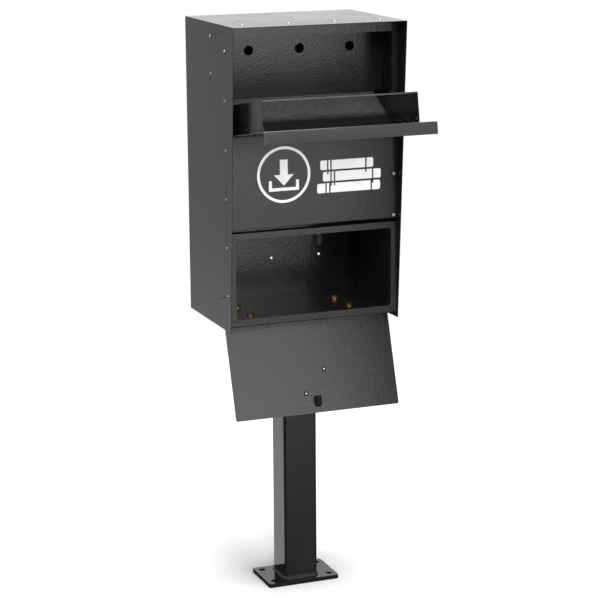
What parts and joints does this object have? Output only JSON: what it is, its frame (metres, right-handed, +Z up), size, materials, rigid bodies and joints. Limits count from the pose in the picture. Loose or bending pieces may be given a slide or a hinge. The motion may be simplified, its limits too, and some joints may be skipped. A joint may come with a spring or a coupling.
{
  "type": "pedestal book drop box",
  "caption": "Free-standing book and envelope drop box on a square post, with a tilting anti-theft hopper, a hinged access door with a cam lock, and an anchor plate.",
  "frame": {"origin": "centre of the base plate underside, under the post centre line, on the ground", "axes": "+Z up, -Y is the front with the hopper and the access door, +X to the right seen from the front"},
  "size_m": [0.4026, 0.491, 1.3063],
  "materials": {
    "powder_coat": "semi-gloss black powder coat",
    "post_coat": "semi-gloss black powder coat",
    "rivet_metal": "plain blind rivets and hinge pins",
    "yellow_zinc": "yellow passivated zinc plate",
    "lock_chrome": "nickel plated",
    "black_zinc": "black passivated zinc plate",
    "sign_film": "white vinyl film"
  },
  "bodies": {
    "box": {"access_hinge_fixed_leaf": "powder_coat", "access_hinge_pin": "rivet_metal", "back_panel": "powder_coat", "baffle_rivets": "rivet_metal", "base_plate": "post_coat", "base_weld": "post_coat", "book_stack_sign": "sign_film", "deposit_badge": "sign_film", "door_frame": "powder_coat", "door_stops": "powder_coat", "floor_panel": "powder_coat", "front_panel": "powder_coat", "front_rivets": "rivet_metal", "head_weld": "post_coat", "hopper_hinge_fixed_leaf": "powder_coat", "hopper_hinge_pin": "rivet_metal", "left_side_panel": "powder_coat", "pedestal_bolts": "yellow_zinc", "pedestal_nuts": "yellow_zinc", "pedestal_washers": "yellow_zinc", "post": "post_coat", "post_head_plate": "post_coat", "right_side_panel": "powder_coat", "roof_rivets": "rivet_metal", "security_baffle": "powder_coat", "side_rivets": "rivet_metal", "stile_doubler": "powder_coat", "strike_bracket": "black_zinc", "top_panel": "powder_coat"},
    "hopper": {"hopper_door": "powder_coat", "hopper_left_cheek": "powder_coat", "hopper_right_cheek": "powder_coat", "hopper_foot_angles": "powder_coat", "hopper_back_plate": "powder_coat", "hopper_cross_strip": "powder_coat", "hopper_rivets": "powder_coat", "hopper_hinge_leaf": "powder_coat"},
    "access_door": {"access_door": "powder_coat", "access_hinge_leaf": "powder_coat", "door_inserts": "black_zinc", "door_screws": "rivet_metal", "lock_body": "lock_chrome", "lock_nut": "black_zinc"},
    "lock": {"lock_plug": "lock_chrome", "lock_cam": "black_zinc", "cam_screw": "black_zinc"}
  },
  "joints": [
    {"name": "hopper_tilt", "type": "hinge", "parent": "box", "child": "hopper", "pos_m": [0, -0.1363, 1.0685], "axis": [1, 0, 0], "range_deg": [-80, 0]},
    {"name": "access_door_swing", "type": "hinge", "parent": "box", "child": "access_door", "pos_m": [0, -0.111, 0.644], "axis": [1, 0, 0], "range_deg": [-161.7, 0]},
    {"name": "lock_turn", "type": "hinge", "parent": "access_door", "child": "lock", "pos_m": [0.001, -0.15104, 0.45923], "axis": [0, -0.9494, 0.314], "range_deg": [0, 90]}
  ]
}
